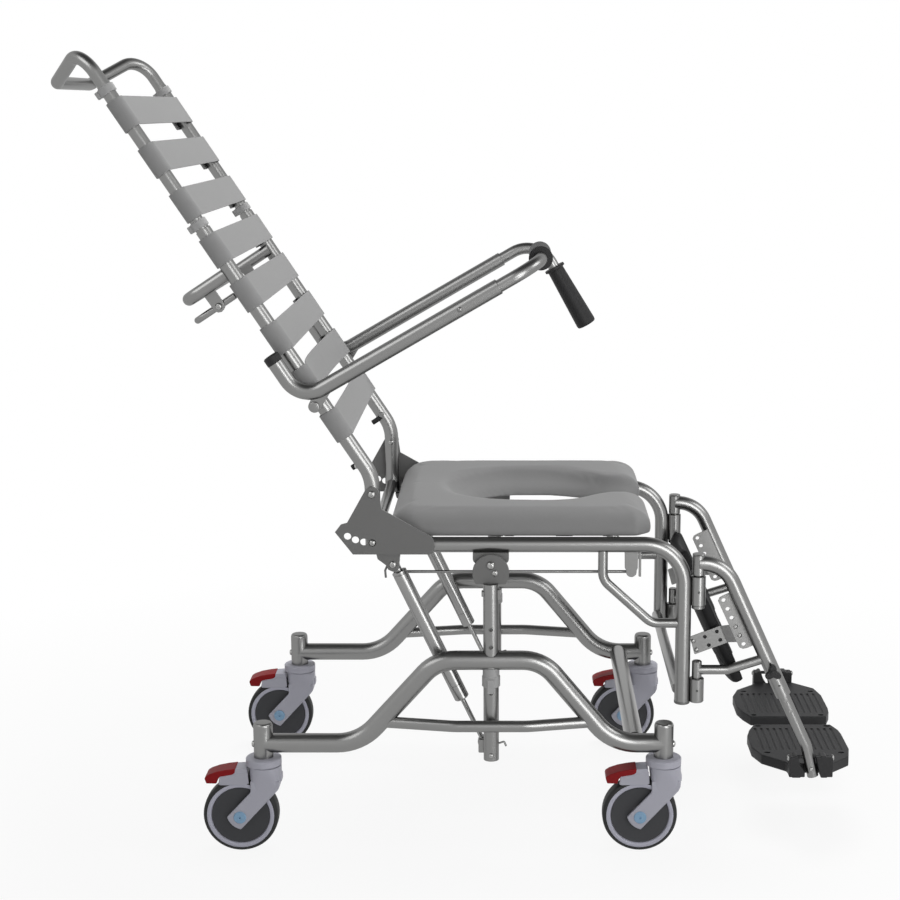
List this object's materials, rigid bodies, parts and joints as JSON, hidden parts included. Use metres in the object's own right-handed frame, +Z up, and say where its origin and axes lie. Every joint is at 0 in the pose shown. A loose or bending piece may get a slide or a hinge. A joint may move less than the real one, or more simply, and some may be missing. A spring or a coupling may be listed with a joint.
{
  "type": "tilting shower commode chair",
  "caption": "Tilt-in-space shower commode chair: padded open-front seat, sling-band reclining back, lift-up arms, swing-away legrests with footplates, and braked casters under an arched base",
  "frame": {"origin": "on the floor under the middle of the chair as it stands untilted", "axes": "+X to the front of the chair, +Y to its left, +Z up"},
  "size_m": [1.3277, 0.5652, 1.3054],
  "materials": {
    "satin_steel": "satin",
    "plate_grey": "satin",
    "spring_grey": "satin",
    "band_grey": "matte",
    "pad_grey": "matte",
    "grip_black": "matte",
    "pad_black": "matte",
    "plate_black": "matte",
    "caster_grey": "satin",
    "tyre_dark": "matte",
    "pedal_red": "gloss"
  },
  "bodies": {
    "base": {"base_side_right": "satin_steel", "base_side_left": "satin_steel", "base_brace_right": "satin_steel", "base_brace_left": "satin_steel", "base_cross": "satin_steel"},
    "posts": {"post_right": "satin_steel", "post_left": "satin_steel"},
    "seat": {"seat_rail_right": "satin_steel", "seat_brace_right": "satin_steel", "pan_rod_right": "satin_steel", "gusset_right": "plate_grey", "seat_rail_left": "satin_steel", "seat_brace_left": "satin_steel", "pan_rod_left": "satin_steel", "gusset_left": "plate_grey", "leg_cross": "satin_steel", "seat_pad": "pad_grey"},
    "spring_body_right": {"spring_cylinder_right": "spring_grey"},
    "spring_rod_right": {"spring_rod_right": "satin_steel"},
    "spring_body_left": {"spring_cylinder_left": "spring_grey"},
    "spring_rod_left": {"spring_rod_left": "satin_steel"},
    "back": {"back_tube_right": "satin_steel", "back_tube_left": "satin_steel", "back_cross": "satin_steel", "mid_push_bar": "satin_steel", "back_band_1": "band_grey", "back_band_2": "band_grey", "back_band_3": "band_grey", "back_band_4": "band_grey", "back_band_5": "band_grey", "back_band_6": "band_grey", "back_band_7": "band_grey", "back_band_8": "band_grey"},
    "push_handle": {"push_handle": "satin_steel"},
    "tilt_lever": {"tilt_lever": "satin_steel"},
    "arm_right": {"arm_right": "satin_steel"},
    "hand_grip_right": {"hand_grip_right": "grip_black"},
    "arm_left": {"arm_left": "satin_steel"},
    "hand_grip_left": {"hand_grip_left": "grip_black"},
    "legrest_right": {"legrest_hanger_right": "satin_steel", "calf_pad_right": "pad_black"},
    "leg_tube_right": {"leg_tube_right": "satin_steel"},
    "footplate_right": {"footplate_right": "plate_black"},
    "legrest_left": {"legrest_hanger_left": "satin_steel", "calf_pad_left": "pad_black"},
    "leg_tube_left": {"leg_tube_left": "satin_steel"},
    "footplate_left": {"footplate_left": "plate_black"},
    "caster_rear_right": {"caster_fork_rear_right": "caster_grey"},
    "wheel_rear_right": {"caster_wheel_rear_right": "tyre_dark"},
    "pedal_rear_right": {"caster_pedal_rear_right": "pedal_red"},
    "caster_rear_left": {"caster_fork_rear_left": "caster_grey"},
    "wheel_rear_left": {"caster_wheel_rear_left": "tyre_dark"},
    "pedal_rear_left": {"caster_pedal_rear_left": "pedal_red"},
    "caster_front_right": {"caster_fork_front_right": "caster_grey"},
    "wheel_front_right": {"caster_wheel_front_right": "tyre_dark"},
    "pedal_front_right": {"caster_pedal_front_right": "pedal_red"},
    "caster_front_left": {"caster_fork_front_left": "caster_grey"},
    "wheel_front_left": {"caster_wheel_front_left": "tyre_dark"},
    "pedal_front_left": {"caster_pedal_front_left": "pedal_red"}
  },
  "joints": [
    {"name": "height_adjust", "type": "slide", "parent": "base", "child": "posts", "axis": [0, 0, 1], "range_m": [-0.03, 0.09]},
    {"name": "seat_tilt", "type": "hinge", "parent": "posts", "child": "seat", "pos_m": [0.051, 0, 0.488], "axis": [0, -1, 0], "range_deg": [0, 20]},
    {"name": "spring_swing_right", "type": "hinge", "parent": "seat", "child": "spring_body_right", "pos_m": [-0.1088, -0.215, 0.4862], "axis": [0, 1, 0], "range_deg": [0, 17.2]},
    {"name": "spring_stroke_right", "type": "slide", "parent": "spring_body_right", "child": "spring_rod_right", "axis": [-0.4255, 0, 0.9049], "range_m": [0, 0.0535]},
    {"name": "spring_swing_left", "type": "hinge", "parent": "seat", "child": "spring_body_left", "pos_m": [-0.1088, 0.215, 0.4862], "axis": [0, 1, 0], "range_deg": [0, 17.2]},
    {"name": "spring_stroke_left", "type": "slide", "parent": "spring_body_left", "child": "spring_rod_left", "axis": [-0.4255, 0, 0.9049], "range_m": [0, 0.0535]},
    {"name": "back_recline", "type": "hinge", "parent": "seat", "child": "back", "pos_m": [-0.1416, 0, 0.604], "axis": [0, 1, 0], "range_deg": [0, 30]},
    {"name": "push_handle_height", "type": "slide", "parent": "back", "child": "push_handle", "axis": [-0.549, 0, 0.8358], "range_m": [0, 0.05]},
    {"name": "tilt_lever_squeeze", "type": "hinge", "parent": "back", "child": "tilt_lever", "pos_m": [-0.38503, 0, 0.90531], "axis": [0, 1, 0], "range_deg": [0, 12], "stiffness_Nm_per_rad": 2},
    {"name": "arm_lift_right", "type": "hinge", "parent": "back", "child": "arm_right", "pos_m": [-0.229, -0.257, 0.751], "axis": [0, -1, 0], "range_deg": [0, 84]},
    {"name": "grip_turn_right", "type": "hinge", "parent": "arm_right", "child": "hand_grip_right", "pos_m": [0.06513, -0.257, 0.9427], "axis": [-0.866, 0, -0.5], "range_deg": [0, 90]},
    {"name": "arm_lift_left", "type": "hinge", "parent": "back", "child": "arm_left", "pos_m": [-0.229, 0.257, 0.751], "axis": [0, -1, 0], "range_deg": [0, 84]},
    {"name": "grip_turn_left", "type": "hinge", "parent": "arm_left", "child": "hand_grip_left", "pos_m": [0.06513, 0.257, 0.9427], "axis": [-0.866, 0, -0.5], "range_deg": [0, 90]},
    {"name": "legrest_swing_right", "type": "hinge", "parent": "seat", "child": "legrest_right", "pos_m": [0.3918, -0.225, 0.465], "axis": [0, 0, -1], "range_deg": [0, 90]},
    {"name": "footrest_length_right", "type": "slide", "parent": "legrest_right", "child": "leg_tube_right", "axis": [0.4157, 0, -0.9095], "range_m": [-0.03, 0.05]},
    {"name": "footplate_flip_right", "type": "hinge", "parent": "leg_tube_right", "child": "footplate_right", "pos_m": [0.58645, -0.225, 0.1506], "axis": [1, 0, 0], "range_deg": [0, 90]},
    {"name": "legrest_swing_left", "type": "hinge", "parent": "seat", "child": "legrest_left", "pos_m": [0.3918, 0.225, 0.465], "axis": [0, 0, 1], "range_deg": [0, 90]},
    {"name": "footrest_length_left", "type": "slide", "parent": "legrest_left", "child": "leg_tube_left", "axis": [0.4157, 0, -0.9095], "range_m": [-0.03, 0.05]},
    {"name": "footplate_flip_left", "type": "hinge", "parent": "leg_tube_left", "child": "footplate_left", "pos_m": [0.58645, 0.225, 0.1506], "axis": [-1, 0, 0], "range_deg": [0, 90]},
    {"name": "caster_swivel_rear_right", "type": "hinge", "parent": "base", "child": "caster_rear_right", "pos_m": [-0.327, -0.25, 0.14], "axis": [0, 0, 1], "continuous": true},
    {"name": "wheel_spin_rear_right", "type": "hinge", "parent": "caster_rear_right", "child": "wheel_rear_right", "pos_m": [-0.366, -0.25, 0.0625], "axis": [0, 1, 0], "continuous": true},
    {"name": "brake_pedal_rear_right", "type": "hinge", "parent": "caster_rear_right", "child": "pedal_rear_right", "pos_m": [-0.35579, -0.25, 0.1375], "axis": [0, -1, 0], "range_deg": [0, 5]},
    {"name": "caster_swivel_rear_left", "type": "hinge", "parent": "base", "child": "caster_rear_left", "pos_m": [-0.327, 0.25, 0.14], "axis": [0, 0, 1], "continuous": true},
    {"name": "wheel_spin_rear_left", "type": "hinge", "parent": "caster_rear_left", "child": "wheel_rear_left", "pos_m": [-0.366, 0.25, 0.0625], "axis": [0, 1, 0], "continuous": true},
    {"name": "brake_pedal_rear_left", "type": "hinge", "parent": "caster_rear_left", "child": "pedal_rear_left", "pos_m": [-0.35579, 0.25, 0.1375], "axis": [0, -1, 0], "range_deg": [0, 5]},
    {"name": "caster_swivel_front_right", "type": "hinge", "parent": "base", "child": "caster_front_right", "pos_m": [0.337, -0.25, 0.14], "axis": [0, 0, 1], "continuous": true},
    {"name": "wheel_spin_front_right", "type": "hinge", "parent": "caster_front_right", "child": "wheel_front_right", "pos_m": [0.298, -0.25, 0.0625], "axis": [0, 1, 0], "continuous": true},
    {"name": "brake_pedal_front_right", "type": "hinge", "parent": "caster_front_right", "child": "pedal_front_right", "pos_m": [0.30821, -0.25, 0.1375], "axis": [0, -1, 0], "range_deg": [0, 5]},
    {"name": "caster_swivel_front_left", "type": "hinge", "parent": "base", "child": "caster_front_left", "pos_m": [0.337, 0.25, 0.14], "axis": [0, 0, 1], "continuous": true},
    {"name": "wheel_spin_front_left", "type": "hinge", "parent": "caster_front_left", "child": "wheel_front_left", "pos_m": [0.298, 0.25, 0.0625], "axis": [0, 1, 0], "continuous": true},
    {"name": "brake_pedal_front_left", "type": "hinge", "parent": "caster_front_left", "child": "pedal_front_left", "pos_m": [0.30821, 0.25, 0.1375], "axis": [0, -1, 0], "range_deg": [0, 5]}
  ],
  "couplings": [
    {"joint": "spring_swing_right", "follows": "seat_tilt", "ratio": 0.8525},
    {"joint": "spring_stroke_right", "follows": "seat_tilt", "m_per_rad": 0.151},
    {"joint": "spring_swing_left", "follows": "seat_tilt", "ratio": 0.8525},
    {"joint": "spring_stroke_left", "follows": "seat_tilt", "m_per_rad": 0.151}
  ]
}
